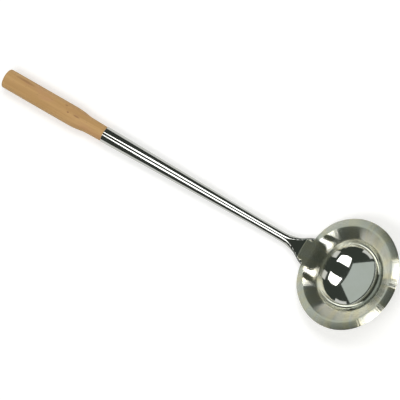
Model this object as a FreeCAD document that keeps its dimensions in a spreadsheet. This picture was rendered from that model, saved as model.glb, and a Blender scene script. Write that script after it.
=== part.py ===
import FreeCAD, Part
import math
import os
import Sketcher
from FreeCAD import Placement, Rotation, Vector

# Wok ladle
# A pressed steel bowl with a wide curled brim, a handle rolled from sheet whose end opens
# into a flat fan welded under the brim, and a turned wooden grip pressed into the tube.
# It lies as it comes to rest: on the bottom of the bowl and on the shoulder of the grip.
# Millimetres and degrees, +X from the grip to the bowl, +Z up, the table at Z = 0.

SIZES = (
    # Bowl
    ("brim_diameter", 120.0),
    ("brim_lip", 8.0),
    ("brim_curl_radius", 15.0),
    ("side_slope", 68.0),
    ("bottom_slope", 30.0),
    ("bottom_share", 0.735),
    ("bowl_wall", 1.2),
    # Seat pressed into the brim for the handle
    ("seat_half_width", 12.0),
    ("seat_blend_width", 15.0),
    ("seat_start_slope", 48.5),
    ("seat_flat_lead", 2.5),
    ("tongue_bulge", 0.8),
    ("tongue_half_width", 11.5),
    ("tongue_corner_radius", 2.2),
    ("notch_depth", 4.8),
    ("notch_half_width", 13.2),
    ("notch_root_radius", 0.6),
    ("draw_in_angle", 45.0),
    # Handle
    ("handle_angle", 22.0),
    ("tube_wall", 0.8),
    ("tube_mouth_diameter", 18.5),
    ("tube_neck_diameter", 11.0),
    ("neck_distance", 60.0),
    ("mouth_distance", 251.0),
    ("seam_gap", 0.4),
    ("fan_width", 32.4),
    ("fan_overlap", 10.5),
    ("fan_length", 34.0),
    ("fan_corner_radius", 1.1),
    ("fan_rounding_start", 5.0),
    ("fan_rounding_length", 15.0),
    ("side_turn", 80.0),
    ("seam_closing_length", 27.0),
    ("lap_clearance", 0.05),
    # Grip
    ("grip_diameter", 22.1),
    ("grip_length", 130.0),
    ("grip_waist_length", 20.0),
    ("grip_waist_diameter", 17.8),
    ("grip_foot_radius", 35.0),
    ("grip_shoulder_end", 43.0),
    ("grip_end_dome", 2.4),
    ("grip_end_rounding", 2.0),
    ("tenon_length", 40.0),
    ("tenon_clearance", 0.06),
)


def make_sheet(doc):
    """A spreadsheet with one row a size: its name, its value and the same name as alias."""
    sheet = doc.addObject("Spreadsheet::Sheet", "sizes")
    for row, (name, value) in enumerate(SIZES, start=1):
        sheet.set("A%d" % row, name)
        sheet.set("B%d" % row, str(value))
        sheet.setAlias("B%d" % row, name)
    doc.recompute()
    return sheet


doc = FreeCAD.newDocument("wok_ladle")
sheet = make_sheet(doc)


def size(name):
    return float(sheet.get(name))


def angle(name):
    return math.radians(size(name))


def smooth_step(share):
    """Rises from 0 to 1 with a level start and a level end."""
    share = min(1.0, max(0.0, share))
    return share * share * (3.0 - 2.0 * share)


# Bowl profile
# The inside is a shallow bottom, a rounder side and the curl of the brim: three arcs that run
# into one another without a kink. Heights are measured from the crest of the brim, where the
# curl is level, and radii from the bowl's axis.

rim = size("brim_diameter") / 2.0
crest_radius = rim - size("brim_lip")
curl = size("brim_curl_radius")
wall = size("bowl_wall")
join_slope = angle("side_slope")
join_radius = crest_radius - curl * math.sin(join_slope)
join_height = -curl * (1.0 - math.cos(join_slope))
bottom_slope = angle("bottom_slope")
bottom_edge = size("bottom_share") * join_radius
bottom_radius = bottom_edge / math.sin(bottom_slope)
side_radius = (join_radius - bottom_edge) / (math.sin(join_slope) - math.sin(bottom_slope))
side_axis = join_radius - side_radius * math.sin(join_slope)
side_centre = join_height + side_radius * math.cos(join_slope)
bottom_centre = side_centre + (bottom_radius - side_radius) * math.cos(bottom_slope)
blank_radius = rim + 4.0


def brim_height(radius):
    """Height of the brim's upper face at a distance from the bowl's axis."""
    return -curl + math.sqrt(curl ** 2 - (radius - crest_radius) ** 2)


# Seat
# At the handle the curl is pressed out: from a crease at the foot of the brim the sheet
# rises in a shallow arc and runs straight along the handle's own slope.

handle_slope = angle("handle_angle")
start_slope = angle("seat_start_slope")
flat_start = crest_radius - size("seat_flat_lead")
seat_run = flat_start - join_radius
seat_arc = seat_run / (math.sin(start_slope) - math.sin(handle_slope))
flat_height = join_height + seat_arc * (math.cos(handle_slope) - math.cos(start_slope))


def seat_height(reach):
    """Height of the seat's upper face at a reach from the axis, measured along the handle."""
    if reach >= flat_start:
        return flat_height + (reach - flat_start) * math.tan(handle_slope)
    sine = math.sin(start_slope) - (reach - join_radius) / seat_arc
    cosine = math.sqrt(1.0 - min(0.98, sine) ** 2)
    return join_height + seat_arc * (cosine - math.cos(start_slope))


def sheet_height(across, aside):
    """Upper face of the pressed sheet; the handle leaves towards negative across."""
    radius = math.hypot(across, aside)
    inwards = smooth_step((radius - join_radius) / seat_run)
    reach = radius + (abs(across) - radius) * inwards
    pressed = 1.0 - smooth_step((abs(aside) - size("seat_half_width")) / size("seat_blend_width"))
    natural = brim_height(radius)
    return natural + pressed * (seat_height(reach) - natural)


def sheet_normal(across, aside):
    step = 0.01
    slope_x = (sheet_height(across + step, aside) - sheet_height(across - step, aside)) / (2 * step)
    slope_y = (sheet_height(across, aside + step) - sheet_height(across, aside - step)) / (2 * step)
    return Vector(-slope_x, -slope_y, 1.0).normalize()


# Pressed and rolled sheet
# Both steel pieces are sheet. Where a plain turned profile isn't enough, a sheet is two smooth
# faces, each through rows of points worked out from the sizes, closed by ruled edges.


SAME_WAY = 1


def smooth_face(rows):
    """A face that passes through rows of points."""
    surface = Part.BSplineSurface()
    surface.interpolate(rows)
    return surface


def knots(points):
    """Plain knots and their counts for a smooth run over a number of net points."""
    places = [float(place) for place in range(points - 2)]
    return places, [4] + [1] * (points - 4) + [4]


def net_face(rows):
    """A face that runs just inside a net of points, so it can't ripple between its rows."""
    row_places, row_counts = knots(len(rows))
    column_places, column_counts = knots(len(rows[0]))
    surface = Part.BSplineSurface()
    surface.buildFromPolesMultsKnots(
        rows, row_counts, column_counts, row_places, column_places, False, False, 3, 3)
    return surface


def sheet_between(upper, lower):
    """A solid between two smooth faces that have the same rows and columns."""
    faces = [upper.toShape(), lower.toShape()]
    first_row, last_row, first_column, last_column = upper.bounds()
    low_first_row, low_last_row, low_first_column, low_last_column = lower.bounds()
    borders = (
        (upper.uIso(first_row), lower.uIso(low_first_row)),
        (upper.uIso(last_row), lower.uIso(low_last_row)),
        (upper.vIso(first_column), lower.vIso(low_first_column)),
        (upper.vIso(last_column), lower.vIso(low_last_column)),
    )
    for above, below in borders:
        faces.append(Part.makeRuledSurface(above.toShape(), below.toShape(), SAME_WAY))
    shell = Part.Compound(faces)
    shell.sewShape()
    return Part.makeSolid(shell)


# Bowl
# The seat's sector is a smooth sheet; the dish and the rest of the brim are turned profiles.
# Spare rows past both ends of the sector let its faces leave it as smoothly as they run.

ORIGIN = Vector(0.0, 0.0, 0.0)
UP = Vector(0.0, 0.0, 1.0)
SECTOR = 60.0
ROW_STEP = 3.0
SPARE_ROWS = 2
COLUMNS = 16
JOIN_TOLERANCE = 0.005


def seat_face(depth):
    """A face of the brim over the seat's sector, a depth below the upper one."""
    rows = []
    count = int(round(2.0 * SECTOR / ROW_STEP)) + 2 * SPARE_ROWS
    for row in range(count + 1):
        turn = math.radians(180.0 - SECTOR + (row - SPARE_ROWS) * ROW_STEP)
        points = []
        for column in range(COLUMNS + 1):
            radius = join_radius + (blank_radius - join_radius) * column / COLUMNS
            across = radius * math.cos(turn)
            aside = radius * math.sin(turn)
            height = sheet_height(across, aside)
            normal = sheet_normal(across, aside)
            if column == 0:
                inwards = -math.sin(join_slope)
                normal = Vector(inwards * math.cos(turn), inwards * math.sin(turn), math.cos(join_slope))
            points.append(Vector(across, aside, height) - normal * depth)
        rows.append(points)
    surface = smooth_face(rows)
    row_knots = surface.getUKnots()
    column_knots = surface.getVKnots()
    surface.segment(row_knots[SPARE_ROWS], row_knots[-1 - SPARE_ROWS], column_knots[0], column_knots[-1])
    return surface


def profile_solid(upper, lower, start, sweep):
    """A sheet profile between two runs of arcs, turned about the bowl's axis."""
    edges = [Part.Arc(*points).toShape() for points in upper + lower]
    edges.append(Part.makeLine(upper[-1][-1], lower[-1][-1]))
    edges.append(Part.makeLine(lower[0][0], upper[0][0]))
    face = Part.Face(Part.Wire(Part.__sortEdges__(edges)))
    face.rotate(ORIGIN, UP, start)
    return face.revolve(ORIGIN, UP, sweep)


def arc_points(centre_radius, centre_height, radius, first, last):
    """Three points of an arc; a turn of 0 is straight below the arc's centre."""
    points = []
    for turn in (first, (first + last) / 2.0, last):
        across = centre_radius + radius * math.sin(turn)
        points.append(Vector(across, 0.0, centre_height - radius * math.cos(turn)))
    return points


def dish_arcs(depth):
    """Bottom and side of the dish, a depth below its inner face."""
    bottom = arc_points(0.0, bottom_centre, bottom_radius + depth, 0.0, bottom_slope)
    side = arc_points(side_axis, side_centre, side_radius + depth, bottom_slope, join_slope)
    return [bottom, side]


def brim_arcs(depth):
    """The curl of the brim, a depth below its upper face."""
    edge_turn = math.asin((blank_radius - crest_radius) / curl)
    return [arc_points(crest_radius, -curl, curl - depth, math.pi + join_slope, math.pi - edge_turn)]


def bowl_blank():
    """The pressed sheet before its edge is trimmed."""
    dish = profile_solid(dish_arcs(0.0), dish_arcs(wall), 0.0, 360.0)
    far_brim = profile_solid(brim_arcs(0.0), brim_arcs(wall), SECTOR - 180.0, 360.0 - 2.0 * SECTOR)
    seat = sheet_between(seat_face(0.0), seat_face(wall))
    return far_brim.fuse((dish, seat), JOIN_TOLERANCE).Solids[0]


def on_plan(radius, turn):
    return Vector(radius * math.cos(turn), radius * math.sin(turn), 0.0)


def bowl_outline():
    """Plan outline of the sheet: a circle, drawn in beside the seat, with a short tongue."""
    notch_side = size("notch_half_width")
    notch_edge = rim - size("notch_depth")
    notch = Vector(-math.sqrt(notch_edge ** 2 - notch_side ** 2), notch_side, 0.0)
    leave = math.pi - angle("draw_in_angle")
    along = notch.x * math.cos(leave) + notch.y * math.sin(leave)
    drawn = (rim ** 2 - 2.0 * rim * along + notch_edge ** 2) / (2.0 * (rim - along))
    middle = on_plan(rim - drawn, leave)
    start = on_plan(rim, leave)
    half_way = (start - middle) + (notch - middle)
    bend = middle + half_way * (drawn / half_way.Length)
    half = size("tongue_half_width")
    root = Vector(notch.x - 1.0, half, 0.0)
    corner = Vector(-rim, half, 0.0)
    tip = Vector(-rim - size("tongue_bulge"), 0.0, 0.0)

    def mirrored(point):
        return Vector(point.x, -point.y, 0.0)

    edges = [
        Part.Arc(mirrored(start), on_plan(rim, 0.0), start).toShape(),
        Part.Arc(start, bend, notch).toShape(),
        Part.makeLine(notch, root),
        Part.makeLine(root, corner),
        Part.Arc(corner, tip, mirrored(corner)).toShape(),
        Part.makeLine(mirrored(corner), mirrored(root)),
        Part.makeLine(mirrored(root), mirrored(notch)),
        Part.Arc(mirrored(notch), mirrored(bend), mirrored(start)).toShape(),
    ]
    depth = 2.0 * rim
    face = Part.Face(Part.Wire(edges))
    face.translate(Vector(0.0, 0.0, -rim))
    prism = face.extrude(Vector(0.0, 0.0, depth))

    def uprights(point):
        found = []
        for edge in prism.Edges:
            ends = edge.Vertexes
            if len(ends) == 2 and abs(edge.Length - depth) < 0.001:
                if math.hypot(ends[0].X - point.x, ends[0].Y - point.y) < 0.01:
                    found.append(edge)
        return found

    prism = prism.makeFillet(size("tongue_corner_radius"), uprights(corner) + uprights(mirrored(corner)))
    return prism.makeFillet(size("notch_root_radius"), uprights(notch) + uprights(mirrored(notch)))


def add_shape(label, shape):
    """A document object of its own for a sheet piece, with its shape worked out above."""
    piece = doc.addObject("Part::Feature", label)
    piece.Label = label
    piece.Shape = shape
    return piece


blank = add_shape("bowl_blank", bowl_blank())
outline = add_shape("bowl_outline", bowl_outline())
bowl = doc.addObject("Part::Common", "bowl")
bowl.Label = "bowl"
bowl.Base = blank
bowl.Tool = outline

# Handle
# One sheet, rolled round with its seam underneath. Towards the bowl the seam opens, the sides
# come up and the sheet spreads into a flat fan. The top line of the tube is the fan's plane,
# Z = 0 in the handle's own frame, with the tongue's end at X = 0 and the grip at negative X.
# Across the handle the sheet's middle line is a flat on top, a bend on each side of it and the
# rest of the sheet as a straight leg; its width is the same from the neck to the fan's end.

SHEET_COLUMNS = 32
NECK_ROWS = 20
TUBE_ROWS = 4

tube_wall = size("tube_wall")
neck = size("neck_distance")
mouth = size("mouth_distance")
neck_radius = (size("tube_neck_diameter") - tube_wall) / 2.0
mouth_radius = (size("tube_mouth_diameter") - tube_wall) / 2.0
taper_rise = (mouth_radius - neck_radius) / (mouth - neck)
net_share = 1.0 + (2.0 * math.pi / SHEET_COLUMNS) ** 2 / 6.0


def rolled_row(distance):
    """Half the sheet, half the flat, radius and turn of the bend at a distance from the tongue."""
    corner = size("fan_corner_radius")
    spread = smooth_step((distance + size("fan_overlap")) / size("fan_length"))
    flat = (size("fan_width") / 2.0 - corner) * (1.0 - spread)
    round_radius = (neck_radius + max(0.0, distance - neck) * taper_rise) * net_share
    rounding = smooth_step((distance - size("fan_rounding_start")) / size("fan_rounding_length"))
    bend = corner + (round_radius - corner) * rounding
    closing = smooth_step(distance / size("seam_closing_length"))
    opening = smooth_step(-distance / size("fan_overlap"))
    turn = angle("side_turn") * (1.0 - 0.5 * opening)
    turn = turn + (math.pi - angle("side_turn")) * closing
    half = math.pi * round_radius - size("seam_gap") / 2.0
    return half, flat, bend, min(turn, (half - flat) / bend)


def rolled_point(distance, share, offset):
    """A point of the sheet at a share of its half width, offset outwards from its middle."""
    half, flat, bend, turn = rolled_row(distance)
    run = abs(share) * half
    lean = min(turn, max(0.0, run - flat) / bend)
    leg = max(0.0, run - flat - bend * turn)
    aside = min(run, flat) + (bend + offset) * math.sin(lean) + leg * math.cos(lean)
    down = bend - (bend + offset) * math.cos(lean) + leg * math.sin(lean)
    return Vector(-distance, math.copysign(aside, share), -tube_wall / 2.0 - down)


def rolled_face(offset):
    """A face of the whole sheet: close rows over the fan and neck, then a few along the cone."""
    overlap = size("fan_overlap")
    distances = [(neck + overlap) * row / NECK_ROWS - overlap for row in range(NECK_ROWS)]
    distances += [neck + (mouth - neck) * row / TUBE_ROWS for row in range(TUBE_ROWS + 1)]
    shares = [2.0 * column / SHEET_COLUMNS - 1.0 for column in range(SHEET_COLUMNS + 1)]
    return net_face([[rolled_point(distance, share, offset) for share in shares] for distance in distances])


def handle_tube():
    return sheet_between(rolled_face(tube_wall / 2.0), rolled_face(-tube_wall / 2.0))


tube = add_shape("handle_tube", handle_tube())

# Grip
# Turned wood along X, with the tube's mouth at X = 0 and the tenon inside the tube. Its
# profile runs from the tenon along the waist into a hollow foot, a full shoulder, the
# straight belly and a domed end.

ROOT_RADIUS = "sizes.tube_mouth_diameter / 2 - sizes.tube_wall - sizes.tenon_clearance"
TENON_TAPER = (
    "(sizes.tube_mouth_diameter - sizes.tube_neck_diameter) / 2"
    " / (sizes.mouth_distance - sizes.neck_distance)"
)

# Lines and arcs of the profile, and the points of each, as the sketch counts them.
TENON_FACE, TENON_SIDE, WAIST, FOOT, SHOULDER, BELLY, DOME, AXIS = range(8)
FIRST, LAST, MIDDLE = range(1, 4)
Y_AXIS, X_AXIS = range(-2, 0)


def drawn_profile(sketch):
    """The grip's outline as it is first drawn; the constraints then bring it to size."""
    length = size("grip_length")
    radius = size("grip_diameter") / 2.0
    waist = size("grip_waist_diameter") / 2.0
    root = size("tube_mouth_diameter") / 2.0 - tube_wall
    tenon = size("tenon_length")
    foot = size("grip_foot_radius")
    dome = size("grip_end_dome")
    shoulder_end = size("grip_shoulder_end")
    foot_start = size("grip_waist_length")

    rise = radius - waist
    run = shoulder_end - foot_start
    bend = 2.0 * math.atan(rise / run)
    shoulder = run / math.sin(bend) - foot
    dome_radius = (radius ** 2 + dome ** 2) / (2.0 * dome)
    dome_turn = math.asin(radius / dome_radius)

    tenon_end = Vector(tenon, 0.0, 0.0)
    tenon_tip = Vector(tenon, root - tenon * taper_rise, 0.0)
    tenon_root = Vector(0.0, root, 0.0)
    waist_end = Vector(-foot_start, waist, 0.0)
    belly_start = Vector(-shoulder_end, radius, 0.0)
    belly_end = Vector(dome - length, radius, 0.0)
    end = Vector(-length, 0.0, 0.0)

    def arc(centre_x, centre_y, arc_radius, first, last):
        circle = Part.Circle(Vector(centre_x, centre_y, 0.0), UP, arc_radius)
        return Part.ArcOfCircle(circle, first, last)

    quarter = math.pi / 2.0
    sketch.addGeometry(Part.LineSegment(tenon_end, tenon_tip), False)
    sketch.addGeometry(Part.LineSegment(tenon_tip, tenon_root), False)
    sketch.addGeometry(Part.LineSegment(tenon_root, waist_end), False)
    sketch.addGeometry(arc(-foot_start, waist + foot, foot, -quarter - bend, -quarter), False)
    sketch.addGeometry(arc(-shoulder_end, radius - shoulder, shoulder, quarter - bend, quarter), False)
    sketch.addGeometry(Part.LineSegment(belly_start, belly_end), False)
    sketch.addGeometry(arc(dome_radius - length, 0.0, dome_radius, math.pi - dome_turn, math.pi), False)
    sketch.addGeometry(Part.LineSegment(end, tenon_end), False)


def constrain_profile(sketch):
    """Joins the outline's pieces and binds every size of it to the spreadsheet."""
    sketch.addConstraint([
        Sketcher.Constraint("Coincident", TENON_FACE, LAST, TENON_SIDE, FIRST),
        Sketcher.Constraint("Coincident", TENON_SIDE, LAST, WAIST, FIRST),
        Sketcher.Constraint("Tangent", WAIST, LAST, FOOT, LAST),
        Sketcher.Constraint("Tangent", FOOT, FIRST, SHOULDER, FIRST),
        Sketcher.Constraint("Tangent", SHOULDER, LAST, BELLY, FIRST),
        Sketcher.Constraint("Coincident", BELLY, LAST, DOME, FIRST),
        Sketcher.Constraint("Coincident", DOME, LAST, AXIS, FIRST),
        Sketcher.Constraint("Coincident", AXIS, LAST, TENON_FACE, FIRST),
        Sketcher.Constraint("Vertical", TENON_FACE),
        Sketcher.Constraint("Horizontal", BELLY),
        Sketcher.Constraint("PointOnObject", TENON_FACE, FIRST, X_AXIS),
        Sketcher.Constraint("PointOnObject", AXIS, FIRST, X_AXIS),
        Sketcher.Constraint("PointOnObject", DOME, MIDDLE, X_AXIS),
        Sketcher.Constraint("PointOnObject", WAIST, FIRST, Y_AXIS),
    ])

    def bind(name, constraint, expression):
        index = sketch.addConstraint(constraint)
        sketch.renameConstraint(index, name)
        sketch.setExpression("Constraints." + name, expression)

    def inwards(name, piece, point, expression):
        value = -sketch.getPoint(piece, point).x
        bind(name, Sketcher.Constraint("DistanceX", piece, point, X_AXIS, FIRST, value), expression)

    def outwards(name, piece, point, expression):
        value = sketch.getPoint(piece, point).y
        bind(name, Sketcher.Constraint("DistanceY", X_AXIS, FIRST, piece, point, value), expression)

    tenon_length = Sketcher.Constraint("DistanceX", X_AXIS, FIRST, TENON_FACE, FIRST, size("tenon_length"))
    bind("tenon_length", tenon_length, "sizes.tenon_length")
    outwards("tenon_root_radius", WAIST, FIRST, ROOT_RADIUS)
    tip_radius = "%s - sizes.tenon_length * %s" % (ROOT_RADIUS, TENON_TAPER)
    outwards("tenon_tip_radius", TENON_FACE, LAST, tip_radius)
    inwards("waist_length", WAIST, LAST, "sizes.grip_waist_length")
    outwards("waist_radius", WAIST, LAST, "sizes.grip_waist_diameter / 2")
    foot_radius = Sketcher.Constraint("Radius", FOOT, size("grip_foot_radius"))
    bind("foot_radius", foot_radius, "sizes.grip_foot_radius")
    inwards("shoulder_end", BELLY, FIRST, "sizes.grip_shoulder_end")
    outwards("belly_radius", BELLY, LAST, "sizes.grip_diameter / 2")
    inwards("belly_end", BELLY, LAST, "sizes.grip_length - sizes.grip_end_dome")
    inwards("grip_end", AXIS, FIRST, "sizes.grip_length")


def end_edge(shape):
    """Name of the round edge between the belly and the dome."""
    place = size("grip_end_dome") - size("grip_length")
    for number, edge in enumerate(shape.Edges, start=1):
        box = edge.BoundBox
        if abs(box.XMin - place) < 0.01 and abs(box.XMax - place) < 0.01:
            return "Edge%d" % number
    raise RuntimeError("the grip has no edge at its dome")


def add_grip():
    """The grip as it is turned: its profile, the turning and the rounding of its end."""
    body = doc.addObject("PartDesign::Body", "wooden_grip")
    body.Label = "wooden_grip"
    sketch = body.newObject("Sketcher::SketchObject", "grip_profile")
    plane = [feature for feature in body.Origin.OriginFeatures if feature.Role == "XZ_Plane"][0]
    sketch.AttachmentSupport = [(plane, "")]
    sketch.MapMode = "FlatFace"
    doc.recompute()
    drawn_profile(sketch)
    constrain_profile(sketch)
    turning = body.newObject("PartDesign::Revolution", "grip_turning")
    turning.Profile = sketch
    turning.ReferenceAxis = (sketch, ["H_Axis"])
    turning.Angle = 360.0
    doc.recompute()

    rounding = body.newObject("PartDesign::Fillet", "grip_end_rounding")
    rounding.Base = (turning, [end_edge(turning.Shape)])
    rounding.setExpression("Radius", "sizes.grip_end_rounding")
    doc.recompute()
    return body, sketch


grip, grip_sketch = add_grip()

# Rest
# The bowl's round bottom and the grip's shoulder touch the table. Each is round where it
# touches, so the centres of the two rounds lie their own radius above the table, and the tilt
# of the handle follows from that.

tongue_top = Vector(-rim, 0.0, seat_height(rim))
seat_normal = Vector(math.sin(handle_slope), 0.0, math.cos(handle_slope))
fan_origin = tongue_top - seat_normal * (wall + size("lap_clearance"))
handle_in_bowl = Placement(fan_origin, Rotation(Vector(0.0, 1.0, 0.0), size("handle_angle")))
mouth_centre = Vector(-mouth, 0.0, -tube_wall / 2.0 - mouth_radius)
tube_tilt = -math.degrees(math.atan(taper_rise))
grip_in_handle = Placement(mouth_centre, Rotation(Vector(0.0, 1.0, 0.0), tube_tilt))

shoulder_round = grip_sketch.Geometry[SHOULDER]
shoulder_centre = Vector(shoulder_round.Center.x, 0.0, -shoulder_round.Center.y)
shoulder = grip_in_handle.multVec(shoulder_centre)
bottom = handle_in_bowl.inverse().multVec(Vector(0.0, 0.0, bottom_centre))
gap_x = bottom.x - shoulder.x
gap_z = bottom.z - shoulder.z
climb = bottom_radius + wall - shoulder_round.Radius
lean = math.acos(climb / math.hypot(gap_x, gap_z)) - math.atan2(gap_x, gap_z)
lift = shoulder_round.Radius + shoulder.x * math.sin(lean) - shoulder.z * math.cos(lean)
handle_at_rest = Placement(Vector(0.0, 0.0, lift), Rotation(Vector(0.0, 1.0, 0.0), math.degrees(lean)))
bowl_at_rest = handle_at_rest.multiply(handle_in_bowl.inverse())

bowl.Placement = bowl_at_rest
tube.Placement = handle_at_rest
grip.Placement = handle_at_rest.multiply(grip_in_handle)
doc.recompute()

PARTS = (bowl, tube, grip)
boxes = [part.Shape.optimalBoundingBox() for part in PARTS]
middle_x = (min(box.XMin for box in boxes) + max(box.XMax for box in boxes)) / 2.0
for part in PARTS:
    part.Placement = Placement(Vector(-middle_x, 0.0, 0.0), Rotation()).multiply(part.Placement)
doc.recompute()

for item in doc.Objects:
    if "Invalid" in item.State or "Error" in item.State:
        raise RuntimeError("%s failed: %s" % (item.Label, item.State))
for part in PARTS:
    if part.Shape.isNull() or not part.Shape.isValid():
        raise RuntimeError("%s has no valid shape" % part.Label)

os.makedirs("parts", exist_ok=True)
for part in PARTS:
    part.Shape.exportStep("parts/%s.step" % part.Label)
    box = part.Shape.optimalBoundingBox()
    print("%s: volume %.0f, x %.2f to %.2f, y %.2f to %.2f, z %.3f to %.3f" % (
        part.Label, part.Shape.Volume, box.XMin, box.XMax, box.YMin, box.YMax, box.ZMin, box.ZMax))
print("rim tilt %.2f, handle tilt %.2f" % (size("handle_angle") - math.degrees(lean), math.degrees(lean)))
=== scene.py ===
# %% [markdown]
# # A wok ladle
# A pressed steel bowl with a wide curled brim, a handle rolled from one sheet that opens into a
# flat fan under the brim, and a turned wooden grip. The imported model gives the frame: every
# piece here is made again with cleaner faces, so that polished steel reflects without ripples,
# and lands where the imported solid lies.

# %% Load the frame
import math

import bmesh
import bpy
from mathutils import Matrix, Vector


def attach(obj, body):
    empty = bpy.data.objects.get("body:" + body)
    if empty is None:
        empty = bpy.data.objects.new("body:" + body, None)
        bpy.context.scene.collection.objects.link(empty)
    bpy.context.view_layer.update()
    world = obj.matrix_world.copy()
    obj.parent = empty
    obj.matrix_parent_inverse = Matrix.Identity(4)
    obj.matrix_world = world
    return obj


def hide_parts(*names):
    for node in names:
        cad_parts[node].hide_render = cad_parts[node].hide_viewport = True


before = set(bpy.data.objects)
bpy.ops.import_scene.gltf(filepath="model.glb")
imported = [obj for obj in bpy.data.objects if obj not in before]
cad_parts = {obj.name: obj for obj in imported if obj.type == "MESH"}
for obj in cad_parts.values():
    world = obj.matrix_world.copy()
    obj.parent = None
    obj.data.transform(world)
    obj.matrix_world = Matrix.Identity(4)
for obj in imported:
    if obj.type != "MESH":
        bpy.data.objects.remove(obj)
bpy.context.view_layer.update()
MM = 0.001

# %% [markdown]
# Bowl and handle are worked out lying flat in frames of their own and are turned into the rest
# pose at the end. In the bowl's frame Z = 0 is the crest of the brim, in the handle's frame Z = 0
# is the top of the tube, in the grip's frame the axis is X and X = 0 is the tube's mouth.

# %% Where each piece lies at rest
def at_rest(x, z, tilt):
    """The place of a piece's own frame: moved in X and Z, and tilted about Y."""
    return Matrix.Translation((x * MM, 0.0, z * MM)) @ Matrix.Rotation(math.radians(tilt), 4, "Y")


BOWL_TILT = -20.242428
BOWL_AT_REST = at_rest(190.454917, 31.393722, BOWL_TILT)
HANDLE_AT_REST = at_rest(133.110816, 12.127737, 1.757572)
GRIP_AT_REST = at_rest(-118.054803, 10.58041, 0.632799)


def smooth_step(share):
    share = min(1.0, max(0.0, share))
    return share * share * (3.0 - 2.0 * share)


# %% [markdown]
# Small helpers for edit mode. An operator acts on all that is selected, so everything is
# deselected before a primitive is added, and edges or faces are picked by their place.

# %% Helpers for edit mode
def start_clean():
    if bpy.context.object and bpy.context.object.mode != "OBJECT":
        bpy.ops.object.mode_set(mode="OBJECT")
    bpy.ops.object.select_all(action="DESELECT")


def named(name):
    piece = bpy.context.object
    piece.name = name
    piece.data.name = name
    return piece


def apply_modifier(piece, kind, **settings):
    start_clean()
    piece.select_set(True)
    bpy.context.view_layer.objects.active = piece
    modifier = piece.modifiers.new(kind.title(), kind)
    for key, value in settings.items():
        setattr(modifier, key, value)
    bpy.ops.object.modifier_apply(modifier=modifier.name)


def move_points(piece, place):
    """Moves every vertex to where place(vertex) says, in the piece's own frame."""
    for vertex in piece.data.vertices:
        vertex.co = place(vertex)
    piece.data.update()


def lay_at_rest(piece, matrix, angle):
    """Lays the mesh at rest and shades edges smooth that bend less than the angle in degrees."""
    piece.data.transform(matrix)
    start_clean()
    piece.select_set(True)
    bpy.context.view_layer.objects.active = piece
    bpy.ops.object.shade_smooth_by_angle(angle=math.radians(angle))
    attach(piece, "root")


# %% [markdown]
# ## The bowl's sheet
# The real bowl is one disc of sheet steel, drawn into a round bowl whose wall turns over into a
# wide curl. On the handle side the curl is pressed out into a sloping seat. A lathe profile
# could give the round form and a boolean the trimmed edge, but a cut leaves long thin faces that
# show in polished steel. So a circle is extruded ring by ring, the seat is pressed by moving the
# rings' points, and only the tongue is extruded from a stretch of the edge.

# %% The bowl's sizes, in mm
RIM = 60.0
CREST = 52.0
CURL = 15.0
SIDE_SLOPE = math.radians(68.0)
BOTTOM_SLOPE = math.radians(30.0)
BOTTOM_SHARE = 0.735
BOWL_WALL = 1.2
SEAT_HALF = 12.0
SEAT_BLEND = 15.0
SEAT_START = math.radians(48.5)
SEAT_SLOPE = math.radians(22.0)
FLAT_START = 49.5
TONGUE_REACH = 60.0
TONGUE_BULGE = 0.8
TONGUE_HALF = 11.5
TONGUE_CORNER = 2.2
NOTCH_EDGE = 55.2
NOTCH_HALF = 13.2
DRAW_IN = math.radians(45.0)
TOLERANCE = 0.001

# the tongue's sides start this far outside the corners of the notches
ROOT_LEAD = 1.0
# beside the seat its arc would turn past upright, so its sine stops here
STEEPEST_SINE = 0.98

NOTCH_REACH = math.sqrt(NOTCH_EDGE ** 2 - NOTCH_HALF ** 2)
JOIN_RADIUS = CREST - CURL * math.sin(SIDE_SLOPE)
JOIN_HEIGHT = -CURL * (1.0 - math.cos(SIDE_SLOPE))
BOTTOM_EDGE = BOTTOM_SHARE * JOIN_RADIUS
BOTTOM_ROUND = BOTTOM_EDGE / math.sin(BOTTOM_SLOPE)
SIDE_ROUND = (JOIN_RADIUS - BOTTOM_EDGE) / (math.sin(SIDE_SLOPE) - math.sin(BOTTOM_SLOPE))
SIDE_AXIS = JOIN_RADIUS - SIDE_ROUND * math.sin(SIDE_SLOPE)
SIDE_CENTRE = JOIN_HEIGHT + SIDE_ROUND * math.cos(SIDE_SLOPE)
BOTTOM_CENTRE = SIDE_CENTRE + (BOTTOM_ROUND - SIDE_ROUND) * math.cos(BOTTOM_SLOPE)
SEAT_RUN = FLAT_START - JOIN_RADIUS
SEAT_ARC = SEAT_RUN / (math.sin(SEAT_START) - math.sin(SEAT_SLOPE))
FLAT_HEIGHT = JOIN_HEIGHT + SEAT_ARC * (math.cos(SEAT_SLOPE) - math.cos(SEAT_START))
print("the bowl turns into the brim at radius %.2f, height %.2f" % (JOIN_RADIUS, JOIN_HEIGHT))


# %% [markdown]
# The solid's brim is one arc. The real brim shows a narrower crest between two straighter flanks:
# a slim bright line runs along it and the wedges beside it are even. So the brim's slope is
# given at a few radii, and its height is added up from there. It has the arc's height at the join
# and at the crest, lies up to 1.9 mm lower between them and ends 0.5 mm lower at the rim.

# %% The brim's section
# radius in mm and slope in degrees
BRIM_SLOPES = (
    (JOIN_RADIUS, 68.0), (38.9, 45.0), (41.0, 35.0), (45.0, 31.5),
    (50.5, 27.0), (53.0, -17.0), (RIM, -23.0))
BRIM_STEP = 0.05


def brim_slope(radius):
    for (start, first), (end, last) in zip(BRIM_SLOPES, BRIM_SLOPES[1:]):
        if radius <= end:
            return math.radians(first + (last - first) * (radius - start) / (end - start))
    return math.radians(BRIM_SLOPES[-1][1])


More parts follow.
